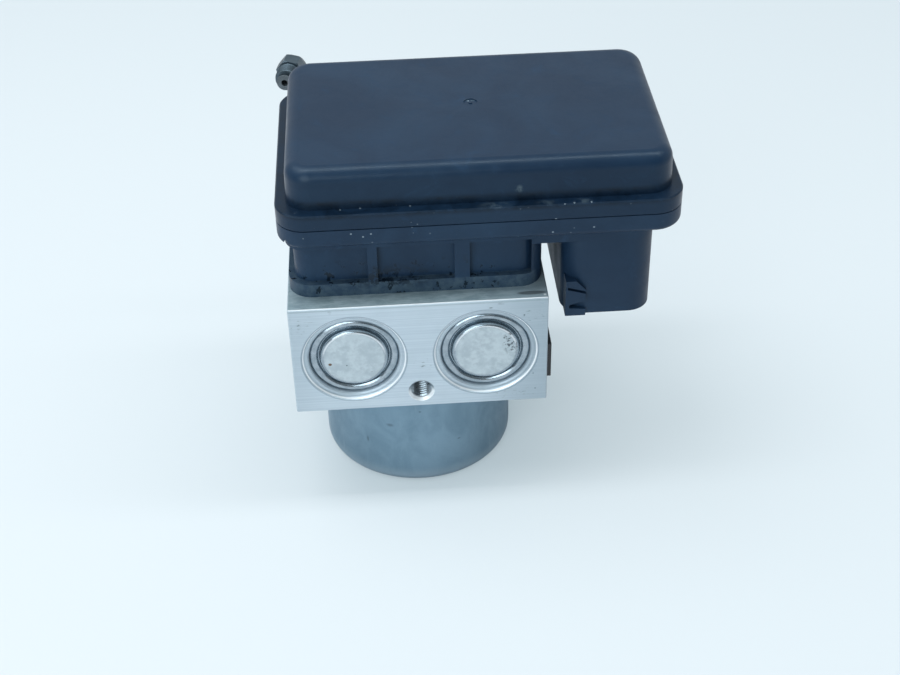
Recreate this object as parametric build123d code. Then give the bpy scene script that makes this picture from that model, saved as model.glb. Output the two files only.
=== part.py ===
"""ABS brake module: electric pump motor, machined valve block, electronic control unit.

Units are millimetres.  Origin: middle of the motor's end face, which stands on the floor.
+Z up, +X right (connector side), +Y back (brake pipe side).
Each physical piece is written as one STEP file, parts/NODE.step.
"""
import math
import os

from build123d import *

os.makedirs("parts", exist_ok=True)

# ---------------------------------------------------------------- driving dimensions
# motor can
MOTOR_R = 38.5            # outside radius of the can
MOTOR_L = 46.0            # floor to valve block
CAN_WALL = 1.8
CAN_FLOOR = 2.0
CAN_EDGE_R = 3.2          # drawn edge at the closed end
EAR_OUT = 5.5             # screw ears, outside the can
EAR_AT = MOTOR_R + EAR_OUT
EAR_R = 5.2
EAR_T = 2.4
EAR_ANGLE = 35.0
# valve block
BLOCK_W, BLOCK_D, BLOCK_H = 97.0, 90.0, 49.0
BLOCK_CX = 0.5            # middle of the block in X
BX0, BX1 = BLOCK_CX - BLOCK_W / 2, BLOCK_CX + BLOCK_W / 2
BY0, BY1 = -BLOCK_D / 2, BLOCK_D / 2
BZ0, BZ1 = MOTOR_L, MOTOR_L + BLOCK_H
EDGE_BREAK = 0.4
# accumulators, bored into the front face
ACC_DX = 25.0             # each side of the block's middle
ACC_Z = BZ0 + 24.5
ACC_R = 14.0
ACC_DEPTH = 27.0
CAP_R = 17.0
CAULK_R = 19.9            # mouth of the caulked cone
CAULK_DEPTH = 2.35
CAP_SEAT = 6.0            # depth of the shoulder that carries the cap
ACC_X = (BLOCK_CX - ACC_DX, BLOCK_CX + ACC_DX)
ACC_END_Y = BY0 + ACC_DEPTH
# pump
PUMP_Z = BZ0 + 14.0
PUMP_BORE_R = 6.6
PISTON_R = 3.5
THROW = 0.7               # eccentric offset
RING_R = 9.0              # outside of the ring that runs on the eccentric
PISTON_GAP = THROW + 0.1  # piston foot to the farthest reach of the ring
PISTON_IN = RING_R + THROW + PISTON_GAP
PISTON_L = 14.0
PUMP_SPRING_L = 9.4
SHAFT_R = 4.0
LOBE_R = 6.0
CHAMBER_R = RING_R + 2.0
CHAMBER_TOP = BZ0 + 21.0
# solenoid valves, two rows of four
VALVE_PITCH, VALVE_HALF = 18.0, 13.5
VALVE_X = tuple(BLOCK_CX + d for d in (-VALVE_HALF - VALVE_PITCH, -VALVE_HALF, VALVE_HALF,
                                       VALVE_HALF + VALVE_PITCH))
ROW_OUT_Y, ROW_IN_Y = -10.0, 14.0
VALVE_R = 5.2
VALVE_FLOOR = BZ1 - 19.0
VALVE_HEAD_R = 6.2
VALVE_HEAD_H = 4.0
DOME_R = 3.6
DOME_TOP = BZ1 + 14.6
COIL_R = 8.6
COIL_TOP = BZ1 + 13.0
# ports on the back face
WHEEL_Z, WHEEL_R, WHEEL_DEPTH = BZ1 - 13.0, 4.5, 12.0     # M10 x 1
MASTER_X, MASTER_Z, MASTER_R, MASTER_DEPTH = 22.5, BZ0 + 12.0, 5.5, 13.0   # M12 x 1
DRILL_R = 1.6
# mounting holes
M8_Z, M8_R, M8_DEPTH, M8_SINK = BZ0 + 7.5, 4.0, 14.0, 5.0
M6_Y, M6_Z, M6_R, M6_DEPTH = BY1 - 15.0, BZ0 + 26.0, 2.5, 12.0
# control unit housing; its base stands on the block
BASE_X0, BASE_X1, BASE_Y0, BASE_Y1, BASE_R = BX0 + 0.8, BX1 - 1.2, BY0 + 7.8, BY1 - 5.0, 9.0
LEDGE_H = 5.5             # plain band at the foot of the base wall
PANEL = 2.5               # depth of the recessed panels
PANEL_TOP = BZ1 + 21.0
RIBS = ((BASE_X0 + 29.8, BASE_X0 + 33.4), (BASE_X0 + 61.8, BASE_X0 + 67.5))
POST_X = BASE_X1 - 4.5
FL_W, FL_D, FL_R = 149.2, 95.1, 11.0
FL_X0, FL_Y0 = BASE_X0 - 2.7, BASE_Y0 - 2.6
FL_X1, FL_Y1 = FL_X0 + FL_W, FL_Y0 + FL_D
FL_Z0 = BZ1 + 24.2
SEAM_Z = FL_Z0 + 6.7
FL_Z1 = SEAM_Z + 6.3
SEAM_GAP = 0.4
TRAY_IN = 2.6             # tray wall behind the flange edge
TRAY_WALL = 3.9
TRAY_Z0 = BZ1 + 19.0
TRAY_FLOOR = TRAY_Z0 + 2.0
RIM = TRAY_IN + TRAY_WALL    # flange edge to the board space
LID_X0, LID_X1, LID_Y0, LID_Y1, LID_R = FL_X0 + 4.5, FL_X1 - 5.7, FL_Y0 + 4.7, FL_Y1 - 5.9, 9.0
LID_H, LID_EDGE_R, LID_WALL = 15.3, 5.0, 2.2
LID_TOP = FL_Z1 + LID_H
LID_DRAFT = 2.0
SH_W, SH_L, SH_R = 34.2, 68.0, 9.0
SH_X1, SH_Y0 = FL_X1 - 9.9, FL_Y0 + 3.0
SH_X0, SH_Y1 = SH_X1 - SH_W, SH_Y0 + SH_L
SH_Z0, SH_WALL = BZ1 - 14.3, 2.4
SOCKET_FLOOR = SH_Z0 + 25.3
TRAY_X1 = SH_X1           # the tray's right wall stands over the shroud's
BOARD_Z, BOARD_T = TRAY_FLOOR + 3.5, 1.6
FIT = 0.1                 # side clearance between parts that are pushed together


# ---------------------------------------------------------------- helpers
def rounded(x0, x1, y0, y1, r, z0, z1, taper=0.0):
    """Upright prism on a rounded rectangle."""
    face = Plane.XY.offset(z0) * Pos((x0 + x1) / 2, (y0 + y1) / 2) * RectangleRounded(
        x1 - x0, y1 - y0, r)
    return extrude(face, amount=z1 - z0, taper=taper)


def box(x0, x1, y0, y1, z0, z1):
    return Pos((x0 + x1) / 2, (y0 + y1) / 2, (z0 + z1) / 2) * Box(x1 - x0, y1 - y0, z1 - z0)


def zcyl(x, y, r, z0, z1):
    return Pos(x, y, (z0 + z1) / 2) * Cylinder(r, z1 - z0)


def ycyl(x, z, r, y0, y1):
    return Pos(x, (y0 + y1) / 2, z) * Rot(90, 0, 0) * Cylinder(r, y1 - y0)


def xcyl(y, z, r, x0, x1):
    return Pos((x0 + x1) / 2, y, z) * Rot(0, 90, 0) * Cylinder(r, x1 - x0)


def ring(x, y, r_in, r_out, z0, z1):
    return zcyl(x, y, r_out, z0, z1) - zcyl(x, y, r_in, z0 - 1, z1 + 1)


def spun(points):
    """Solid of revolution about Z from (radius, height) corners."""
    wire = Polyline(*[(r, 0, z) for r, z in points], close=True)
    return revolve(make_face(wire), axis=Axis.Z)


def facing_front(shape, x, z):
    """Turn a piece whose outside points to +Z so that it points to -Y at the front face."""
    return Pos(x, BY0, z) * Rot(90, 0, 0) * shape


def coil(r, wire, length, turns):
    """Coil spring about Z, from 0 to length, laid as short straight chords of six-sided wire."""
    rise, count = length - 2 * wire, int(turns * 14)
    pts = [(r * math.cos(2 * math.pi * turns * k / count),
            r * math.sin(2 * math.pi * turns * k / count), wire + rise * k / count)
           for k in range(count + 1)]
    path = Polyline(*pts)
    section = Plane(origin=path @ 0, z_dir=path % 0) * RegularPolygon(wire, 6)
    return sweep(section, path=path, transition=Transition.RIGHT)


def save(shape, name):
    solids = shape.solids() if hasattr(shape, "solids") else [shape]
    out = solids[0] if len(solids) == 1 else Compound(children=list(solids))
    export_step(out, f"parts/{name}.step")


def group(shapes):
    solids = []
    for s in shapes:
        solids += s.solids()
    return Compound(children=solids)


# ---------------------------------------------------------------- motor
can = zcyl(0, 0, MOTOR_R, 0, MOTOR_L)
can = fillet(can.edges().sort_by(Axis.Z)[0], CAN_EDGE_R)
for a in (EAR_ANGLE, EAR_ANGLE + 180):
    arm = Pos(0, 0, MOTOR_L - EAR_T / 2) * Rot(0, 0, a) * Pos(EAR_AT / 2, 0, 0) * Box(
        EAR_AT, 2 * EAR_R, EAR_T)
    ex, ey = EAR_AT * math.cos(math.radians(a)), EAR_AT * math.sin(math.radians(a))
    can += arm + zcyl(ex, ey, EAR_R, MOTOR_L - EAR_T, MOTOR_L)
    can -= zcyl(ex, ey, 2.75, MOTOR_L - EAR_T - 1, MOTOR_L + 1)
hollow = zcyl(0, 0, MOTOR_R - CAN_WALL, CAN_FLOOR, MOTOR_L + 1)
hollow = fillet(hollow.edges().sort_by(Axis.Z)[0], CAN_EDGE_R - CAN_WALL)
can -= hollow
BUSH_R = 6.5
BUSH_TOP = CAN_FLOOR + 6.4
can += ring(0, 0, BUSH_R, BUSH_R + 1.8, CAN_FLOOR, BUSH_TOP)
save(can, "motor_can")

END_BUSH_R = 6.0
END_BUSH_TOP = CHAMBER_TOP + 4.6
JOURNAL_R = 3.0
save(group([ring(0, 0, JOURNAL_R + 0.03, BUSH_R - 0.02, CAN_FLOOR, BUSH_TOP),
            ring(0, 0, JOURNAL_R + 0.03, END_BUSH_R - 0.02, CHAMBER_TOP, END_BUSH_TOP)]), "shaft_bushes")

MAG_OUT = MOTOR_R - CAN_WALL - FIT
MAG_IN = MAG_OUT - 6.3
MAG_Z0, MAG_Z1 = CAN_FLOOR + 10.0, MOTOR_L - 11.0
MAG_HALF = 38.0
MAG_COS, MAG_SIN = math.cos(math.radians(MAG_HALF)), math.sin(math.radians(MAG_HALF))
magnets = []
for k in range(4):
    arc = ring(0, 0, MAG_IN, MAG_OUT, MAG_Z0, MAG_Z1)
    reach = 2 * MOTOR_R
    wedge = Plane.XY.offset(MAG_Z0) * make_face(Polyline(
        (0, 0), (reach * MAG_COS, -reach * MAG_SIN), (1.4 * reach, 0),
        (reach * MAG_COS, reach * MAG_SIN), close=True))
    magnets.append(Rot(0, 0, 45 + 90 * k) * (arc & extrude(wedge, amount=MAG_Z1 - MAG_Z0)))
save(group(magnets), "motor_magnets")

# rotor: shaft with an eccentric lobe, laminated core, windings, commutator
LOBE_Z0, LOBE_Z1 = PUMP_Z - 5.5, PUMP_Z + 5.5
shaft = zcyl(0, 0, JOURNAL_R, CAN_FLOOR + 0.3, BUSH_TOP + 0.3)
shaft += zcyl(0, 0, SHAFT_R, BUSH_TOP + 0.3, LOBE_Z0)
shaft += zcyl(0, THROW, LOBE_R, LOBE_Z0, LOBE_Z1)
shaft += zcyl(0, 0, JOURNAL_R, LOBE_Z1, END_BUSH_TOP)
save(shaft, "motor_shaft")

COMM_R, COMM_Z0, COMM_Z1 = 10.0, MOTOR_L - 10.0, MOTOR_L - 2.5
CORE_R, CORE_Z0, CORE_Z1, SLOTS = MAG_IN - 0.8, MAG_Z0 + 1.0, MAG_Z1 - 2.0, 12
SLOT_IN, SLOT_OUT = CORE_R - 12.5, CORE_R - 2.0
core = ring(0, 0, SHAFT_R + 0.02, CORE_R, CORE_Z0, CORE_Z1)
bars = None
for k in range(SLOTS):
    turn = Rot(0, 0, 360 / SLOTS * k)
    core -= turn * box(SLOT_IN, SLOT_OUT, -1.7, 1.7, CORE_Z0 - 1, CORE_Z1 + 1)
    core -= turn * box(SLOT_OUT - 0.5, CORE_R + 1.5, -0.8, 0.8, CORE_Z0 - 1, CORE_Z1 + 1)
    bar = turn * box(SLOT_IN + FIT, SLOT_OUT - 0.2, -1.6, 1.6, CORE_Z0 - 1, CORE_Z1 + 1)
    bars = bar if bars is None else bars + bar
save(core, "armature_core")
windings = bars
COIL_GAP = 2.0            # coil ends clear of the commutator
for z0 in (CORE_Z0 - 3.5, CORE_Z1):
    windings += ring(0, 0, COMM_R + COIL_GAP, SLOT_OUT - 0.2, z0, z0 + 3.5)
save(windings, "armature_windings")

comm = ring(0, 0, SHAFT_R + 0.02, COMM_R, COMM_Z0, COMM_Z1) + ring(
    0, 0, SHAFT_R + 0.02, COMM_R + 1.95, COMM_Z0, COMM_Z0 + 0.5)
for k in range(12):
    comm -= Rot(0, 0, 15 + 30 * k) * box(COMM_R - 1.0, COMM_R + 3.0, -0.25, 0.25, COMM_Z0 - 1, COMM_Z1 + 1)
save(comm, "commutator")

BRG_R, BRG_W = CHAMBER_R, 7.0
RACE_IN, RACE_OUT = SHAFT_R + 2.2, BRG_R - 2.0
BALL_AT, BALL_R = (RACE_IN + RACE_OUT) / 2, (RACE_OUT - RACE_IN) / 2 - 0.05
save(ring(0, 0, SHAFT_R + 0.02, RACE_IN, BZ0, BZ0 + BRG_W), "bearing_inner_ring")
save(ring(0, 0, RACE_OUT, BRG_R - 0.03, BZ0, BZ0 + BRG_W), "bearing_outer_ring")
save(group([Rot(0, 0, 60 * k + 30) * Pos(BALL_AT, 0, BZ0 + BRG_W / 2) * Sphere(BALL_R)
            for k in range(6)]), "bearing_balls")
save(ring(0, THROW, LOBE_R + 0.05, RING_R, LOBE_Z0 + 0.5, LOBE_Z1 - 0.5), "eccentric_ring")

# brush plate with two brush boxes, closing the can under the block
PLATE_Z0 = MOTOR_L - 1.8
BRUSH_Z, BRUSH_L, BOX_L = MOTOR_L - 6.0, 11.0, 16.0
BRUSH_IN = COMM_R - 1.0
BRUSH_OUT = BRUSH_IN + BRUSH_L
BOX_MID = COMM_R + 2.0 + BOX_L / 2
BOX_Z0 = BRUSH_Z - 3.0
plate = ring(0, 0, SHAFT_R + 5.0, MOTOR_R - CAN_WALL - 0.2, PLATE_Z0, MOTOR_L)
brushes, brush_springs = [], []
for s in (1, -1):
    plate += Pos(s * BOX_MID, 0, (BOX_Z0 + PLATE_Z0) / 2) * Box(BOX_L, 9.2, PLATE_Z0 - BOX_Z0)
    plate -= Pos(s * (BOX_MID - 1.0), 0, BRUSH_Z) * Box(BOX_L + 0.1, 6.1, 4.2)
    brush = Pos(s * (BRUSH_IN + BRUSH_OUT) / 2, 0, BRUSH_Z) * Box(BRUSH_L, 5.8, 3.9)
    brushes.append(brush - zcyl(0, 0, COMM_R + 0.06, BRUSH_Z - 4, BRUSH_Z + 4))
    back = BOX_MID + BOX_L / 2 - 1.1
    brush_springs.append(xcyl(0, BRUSH_Z, 1.7, *sorted((s * BRUSH_OUT, s * back)))
                         - xcyl(0, BRUSH_Z, 1.0, *sorted((s * (BRUSH_OUT - 1), s * (back + 1)))))
save(plate, "brush_plate")
save(group(brushes), "motor_brushes")
save(group(brush_springs), "brush_springs")

motor_screws = []
for a in (EAR_ANGLE, EAR_ANGLE + 180):
    ex, ey = EAR_AT * math.cos(math.radians(a)), EAR_AT * math.sin(math.radians(a))
    screw = zcyl(ex, ey, 2.05, MOTOR_L - EAR_T - 0.5, MOTOR_L + 7.5)
    screw += zcyl(ex, ey, 4.2, MOTOR_L - EAR_T - 3.4, MOTOR_L - EAR_T)
    screw -= Pos(ex, ey, MOTOR_L - EAR_T - 2.9) * extrude(RegularPolygon(2.1, 6), amount=-2)
    motor_screws.append(screw)
save(group(motor_screws), "motor_screws")

# ---------------------------------------------------------------- valve block
block = box(BX0, BX1, BY0, BY1, BZ0, BZ1)
block = chamfer(block.edges(), EDGE_BREAK)
block -= zcyl(0, 0, CHAMBER_R, BZ0 - 1, CHAMBER_TOP)
block -= zcyl(0, 0, END_BUSH_R, CHAMBER_TOP - 1, END_BUSH_TOP + 1.4)
for a in (EAR_ANGLE, EAR_ANGLE + 180):
    ex, ey = EAR_AT * math.cos(math.radians(a)), EAR_AT * math.sin(math.radians(a))
    block -= zcyl(ex, ey, 2.15, BZ0 - 1, BZ0 + 8.5)
# accumulator bores with the caulked mouth
mouth = spun([(0, 1), (CAULK_R, 1), (CAULK_R, 0), (CAULK_R - 0.25, -0.5),
              (CAP_R + 0.05, -CAULK_DEPTH), (CAP_R + 0.05, -CAP_SEAT), (ACC_R, -CAP_SEAT),
              (ACC_R, -ACC_DEPTH), (0, -ACC_DEPTH)])
mouth -= Pos(0, 0, -2.25) * Torus(CAP_R + 1.3, 1.22)    # metal rolled over against the cap
for x in ACC_X:
    block -= facing_front(mouth, x, ACC_Z)
# pump bores, one each side of the eccentric
block -= xcyl(0, PUMP_Z, PUMP_BORE_R, BX0 - 1, BX1 + 1)
# valve bores, and the drillings that join ports, valves, accumulators and pump
PORT_END = BY1 - WHEEL_DEPTH
for x in VALVE_X:
    for y in (ROW_OUT_Y, ROW_IN_Y):
        block -= zcyl(x, y, VALVE_R, VALVE_FLOOR, BZ1 + 1)
        block -= zcyl(x, y, VALVE_HEAD_R, BZ1 - VALVE_HEAD_H, BZ1 + 1)
    block -= ycyl(x, WHEEL_Z, WHEEL_R, PORT_END, BY1 + 1)
    block -= ycyl(x, WHEEL_Z, 7.0, BY1 - 0.8, BY1 + 1)
    block -= ycyl(x, WHEEL_Z, DRILL_R, ROW_OUT_Y, PORT_END + 1)
    block -= ycyl(x, VALVE_FLOOR + 1.0, 0.9, ACC_END_Y - 1, ROW_OUT_Y)
for s, ax in ((-1, ACC_X[0]), (1, ACC_X[1])):
    mx = BLOCK_CX + s * MASTER_X
    block -= ycyl(mx, MASTER_Z, MASTER_R, BY1 - MASTER_DEPTH, BY1 + 1)
    block -= ycyl(mx, MASTER_Z, 8.2, BY1 - 0.8, BY1 + 1)
    block -= ycyl(mx, MASTER_Z, DRILL_R, 0, BY1 - MASTER_DEPTH + 1)
    block -= ycyl(ax, PUMP_Z, DRILL_R, ACC_END_Y - 1, 0)
# mounting holes
m8 = spun([(0, 1), (M8_SINK, 1), (M8_SINK, 0), (M8_R, -(M8_SINK - M8_R)), (M8_R, -M8_DEPTH),
           (0, -M8_DEPTH - 1.6)])
block -= facing_front(m8, BLOCK_CX, M8_Z)
block -= xcyl(M6_Y, M6_Z, M6_R, BX1 - M6_DEPTH, BX1 + 1)
block -= xcyl(M6_Y, M6_Z, M6_R, BX0 - 1, BX0 + M6_DEPTH)
# motor lead channel and the four tapped holes for the control unit
LEAD_X, LEAD_Y, LEAD_R = BLOCK_CX, 26.0, 5.0
block -= zcyl(LEAD_X, LEAD_Y, LEAD_R, BZ0 - 1, BZ1 + 1)
SCREW_AT = [(x, y) for x in (BASE_X0 + 11.2, BASE_X1 - 11.0)
            for y in (BASE_Y0 + 11.2, BASE_Y1 - 11.0)]
for x, y in SCREW_AT:
    block -= zcyl(x, y, 2.15, BZ1 - 11, BZ1 + 1)
save(block, "valve_block")

save(box(BX1, BX1 + 1.6, BY0 + 1.2, BY0 + 31.0, BZ0 + 10.5, BZ0 + 26.0), "side_plate")

# accumulator caps: pressed cup with a raised middle, a narrow trough and a rounded rim
with BuildPart() as cap_part:
    with BuildSketch(Plane.XZ):
        with BuildLine():
            Line((0, -0.8), (11.6, -0.8))
            ThreePointArc((11.6, -0.8), (12.55, -1.15), (13.0, -2.1))
            Line((13.0, -2.1), (13.15, -3.0))
            ThreePointArc((13.15, -3.0), (13.55, -3.4), (13.95, -3.0))
            Line((13.95, -3.0), (14.1, -2.3))
            ThreePointArc((14.1, -2.3), (15.2, -1.75), (17.0, -2.7))
            Polyline((17.0, -2.7), (17.0, -CAP_SEAT), (12.2, -CAP_SEAT), (11.2, -4.4),
                     (10.4, -2.4), (0, -2.4), (0, -0.8))
        make_face()
    revolve(axis=Axis.Z)
for x, side in zip(ACC_X, ("left", "right")):
    save(facing_front(cap_part.part, x, ACC_Z), f"accumulator_cap_{side}")
    # floating piston, open towards the spring, with its seal ring
    PY1, PY0 = ACC_END_Y - 0.2, ACC_END_Y - 9.2
    piston = ycyl(x, ACC_Z, ACC_R - 0.05, PY0, PY1) - ycyl(x, ACC_Z, 10.5, PY0 - 1, PY1 - 2.5)
    piston -= ycyl(x, ACC_Z, ACC_R + 1, PY1 - 3.2, PY1 - 1.2) - ycyl(
        x, ACC_Z, 12.2, PY1 - 4, PY1)
    seal = ycyl(x, ACC_Z, ACC_R - 0.03, PY1 - 3.2, PY1 - 1.2) - ycyl(
        x, ACC_Z, 12.2, PY1 - 4, PY1)
    save(group([piston, seal]), f"accumulator_piston_{side}")
    spring_l = (PY1 - 2.5) - (BY0 + 2.4)
    spring = coil(8.8, 0.6, spring_l, 5.0)
    save(Pos(x, PY1 - 2.5, ACC_Z) * Rot(90, 0, 0) * spring, f"accumulator_spring_{side}")

# ---------------------------------------------------------------- pump elements
sleeves, plugs = [], []
for s, side in ((-1, "left"), (1, "right")):
    def span(a, b):
        return sorted((s * a, s * b))
    wall = abs(BX0) if s < 0 else BX1
    piston = xcyl(0, PUMP_Z, PISTON_R, *span(PISTON_IN, PISTON_IN + PISTON_L))
    piston -= xcyl(0, PUMP_Z, 1.6, *span(PISTON_IN + PISTON_L - 4, PISTON_IN + PISTON_L + 1))
    save(piston, f"pump_piston_{side}")
    sleeve = xcyl(0, PUMP_Z, PUMP_BORE_R - 0.05, *span(PISTON_IN + 4.0, PISTON_IN + 19.5))
    sleeve -= xcyl(0, PUMP_Z, PISTON_R + 0.03, *span(PISTON_IN + 3.0, PISTON_IN + 20.5))
    sleeves.append(sleeve)
    spring = coil(PISTON_R - 1.1, 0.4, PUMP_SPRING_L, 5.0)
    at = Pos(s * (PISTON_IN + PISTON_L), 0, PUMP_Z) * Rot(0, 90 * s, 0)
    save(at * spring, f"pump_spring_{side}")
    plug = xcyl(0, PUMP_Z, PUMP_BORE_R - 0.05, *span(
        PISTON_IN + PISTON_L + PUMP_SPRING_L, wall - 0.6))
    plug -= Pos(s * (wall - 0.6), 0, PUMP_Z) * Rot(0, 90, 0) * extrude(
        RegularPolygon(3.4, 6), amount=4, both=True)
    plugs.append(plug)
save(group(sleeves), "pump_sleeves")
save(group(plugs), "pump_plugs")

# ---------------------------------------------------------------- solenoid valves
SEAT_Z, STEM_R, HEAD_R = VALVE_FLOOR + 4.0, 1.2, 2.95
GUIDE_R, HEAD_Z0, HEAD_Z1 = HEAD_R + 0.1, BZ1 - 4.0, DOME_TOP - 5.1
body_pts = [(0.7, VALVE_FLOOR + 0.2), (VALVE_R - 0.1, VALVE_FLOOR + 0.2),
            (VALVE_R - 0.1, BZ1 - VALVE_HEAD_H), (VALVE_HEAD_R - 0.1, BZ1 - VALVE_HEAD_H),
            (VALVE_HEAD_R - 0.1, BZ1), (DOME_R, BZ1), (DOME_R, DOME_TOP), (0, DOME_TOP),
            (0, DOME_TOP - 1.6), (GUIDE_R, DOME_TOP - 1.6), (GUIDE_R, HEAD_Z0 - 1.0),
            (STEM_R + 0.3, HEAD_Z0 - 1.0), (STEM_R + 0.3, SEAT_Z), (0.7, SEAT_Z)]
valve_body = spun(body_pts)
for row, y in (("inlet", ROW_IN_Y), ("outlet", ROW_OUT_Y)):
    save(group([Pos(x, y, 0) * valve_body for x in VALVE_X]), f"{row}_valves")
    lift = 0.5 if row == "inlet" else 0.06
    for i, x in enumerate(VALVE_X):
        plunger = zcyl(x, y, STEM_R, SEAT_Z + lift, HEAD_Z0 + 0.5)
        plunger += zcyl(x, y, HEAD_R, HEAD_Z0, HEAD_Z1)
        save(plunger, f"{row}_plunger_{i + 1}")
save(group([ring(x, y, 1.4, 2.2, HEAD_Z1 + 0.5, DOME_TOP - 1.6)
            for x in VALVE_X for y in (ROW_IN_Y, ROW_OUT_Y)]), "valve_springs")
HUB_IN, HUB_OUT, CHEEK_R = DOME_R + 0.3, DOME_R + 1.0, COIL_R - 0.7
bobbin = spun([(HUB_IN, BZ1), (CHEEK_R, BZ1), (CHEEK_R, BZ1 + 0.8), (HUB_OUT, BZ1 + 0.8),
               (HUB_OUT, COIL_TOP - 0.8), (CHEEK_R, COIL_TOP - 0.8), (CHEEK_R, COIL_TOP),
               (HUB_IN, COIL_TOP)])
YOKE_TOP = COIL_TOP + 1.2
yoke = ring(0, 0, COIL_R - 0.6, COIL_R, BZ1, COIL_TOP) + ring(
    0, 0, HUB_IN, COIL_R, COIL_TOP, YOKE_TOP)
spots = [(x, y) for x in VALVE_X for y in (ROW_IN_Y, ROW_OUT_Y)]
save(group([Pos(x, y, 0) * bobbin for x, y in spots]), "coil_bobbins")
save(group([ring(x, y, HUB_OUT + 0.05, CHEEK_R - 0.4, BZ1 + 0.8, COIL_TOP - 0.8)
            for x, y in spots]), "coil_windings")
save(group([Pos(x, y, 0) * yoke for x, y in spots]), "coil_yokes")
save(group([box(x + d - 0.4, x + d + 0.4, y + 5.6, y + 6.4, YOKE_TOP, BOARD_Z)
            for x, y in spots for d in (-2.5, 2.5)]), "coil_pins")

# motor leads: insulated plug through the block with two pins
leads = [(LEAD_X - 2.0, LEAD_Y), (LEAD_X + 2.0, LEAD_Y)]
lead_plug = zcyl(LEAD_X, LEAD_Y, LEAD_R - FIT, MOTOR_L, BZ1 + 17.0)
for x, y in leads:
    lead_plug -= zcyl(x, y, 0.8, MOTOR_L - 1, BZ1 + 18.0)
save(lead_plug, "motor_lead_plug")
save(group([zcyl(x, y, 0.78, MOTOR_L, BOARD_Z) for x, y in leads]), "motor_lead_pins")

# ---------------------------------------------------------------- control unit housing
HOUSE_TOP = SEAM_Z - SEAM_GAP / 2
house = rounded(BASE_X0, BASE_X1, BASE_Y0, BASE_Y1, BASE_R, BZ1, TRAY_FLOOR)
house += rounded(FL_X0 + TRAY_IN, TRAY_X1, FL_Y0 + TRAY_IN, FL_Y1 - TRAY_IN,
                 FL_R - TRAY_IN, TRAY_Z0, HOUSE_TOP)
flange = rounded(FL_X0, FL_X1, FL_Y0, FL_Y1, FL_R, FL_Z0, HOUSE_TOP)
flange = fillet(flange.edges().group_by(Axis.Z)[0], 2.2)
house += flange
house += rounded(SH_X0, SH_X1, SH_Y0, SH_Y1, SH_R, SH_Z0, TRAY_Z0 + 1)
# recessed panels round the front, left and back of the base, between ribs and corner post
skin = rounded(BASE_X0 - 1, BASE_X1 + 1, BASE_Y0 - 1, BASE_Y1 + 1, BASE_R + 1,
               BZ1 + LEDGE_H, PANEL_TOP)
skin -= rounded(BASE_X0 + PANEL, BASE_X1 - PANEL, BASE_Y0 + PANEL, BASE_Y1 - PANEL,
                BASE_R - PANEL, BZ1, PANEL_TOP + 1)
skin -= box(POST_X, BASE_X1 + 5, BASE_Y0 - 5, BASE_Y1 + 5, BZ1, PANEL_TOP + 1)
skin -= box(BASE_X0 - 5, BASE_X1 + 5, BASE_Y1 - 16.0, BASE_Y1 + 5, TRAY_Z0, PANEL_TOP + 1)
for a, b in RIBS:
    skin -= box(a, b, BASE_Y0 - 5, BASE_Y1 + 5, BZ1, PANEL_TOP + 1)
skin -= box(BASE_X0 - 5, BASE_X0 + 6, BASE_Y1 - 32.0, BASE_Y1 - 26.0, BZ1, PANEL_TOP + 1)
house -= skin
# lock lug on the connector's front left corner, for the plug's lever
def shroud_front(depth, *corners):
    """Face in the front plane, drawn from the shroud's lower left corner, set back by depth."""
    return Plane.XZ.offset(-(SH_Y0 + depth)) * make_face(Polyline(
        *[(SH_X0 + x, SH_Z0 + z) for x, z in corners], close=True))


LUG_BACK, LUG_PROUD = 8.0, 1.4
lug = extrude(shroud_front(LUG_BACK, (1.0, 0), (8.7, 0), (8.7, 11.7), (5.0, 15.9), (1.0, 15.9)),
              amount=LUG_BACK + LUG_PROUD)
notch = extrude(shroud_front(1.2, (2.5, 3.5), (9.8, 2.7), (9.8, 6.7), (6.3, 6.2), (2.5, 4.9)),
                amount=4.0)
slot = extrude(shroud_front(0.2, (1.8, 12.0), (9.8, 9.6), (9.8, 10.8), (1.8, 13.2)), amount=4.0)
house += lug - notch - slot
# inside: coil space, board space, connector socket
CAV_X0, CAV_X1, CAV_Y0, CAV_Y1 = BASE_X0 + 6.6, BASE_X1 - 6.4, BASE_Y0 + 6.7, BASE_Y1 - 6.5
cavity = rounded(CAV_X0, CAV_X1, CAV_Y0, CAV_Y1, 4.0, BZ1 - 1, TRAY_FLOOR + 1)
BOSS_TOP = BZ1 + 13.0
for x, y in SCREW_AT:
    cavity -= zcyl(x, y, 4.6, BZ1 - 2, BOSS_TOP)
    corner_x = CAV_X0 if x < 0 else CAV_X1
    corner_y = CAV_Y0 if y < 0 else CAV_Y1
    cavity -= box(*sorted((x, corner_x)), *sorted((y, corner_y)), BZ1 - 2, BOSS_TOP)
house -= cavity
house -= rounded(FL_X0 + RIM, TRAY_X1 - TRAY_WALL, FL_Y0 + RIM, FL_Y1 - RIM, 5.0,
                 TRAY_FLOOR, HOUSE_TOP + 1)
house -= rounded(FL_X0 + RIM, FL_X1 - RIM, FL_Y0 + RIM, FL_Y1 - RIM, 5.0,
                 FL_Z0 + 2.4, HOUSE_TOP + 1)
for x, y in SCREW_AT:
    house -= zcyl(x, y, 2.6, BZ1 - 1, BOSS_TOP + 1)
house -= rounded(SH_X0 + SH_WALL, SH_X1 - SH_WALL, SH_Y0 + SH_WALL, SH_Y1 - SH_WALL,
                 SH_R - SH_WALL, SH_Z0 - 1, TRAY_Z0)
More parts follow.
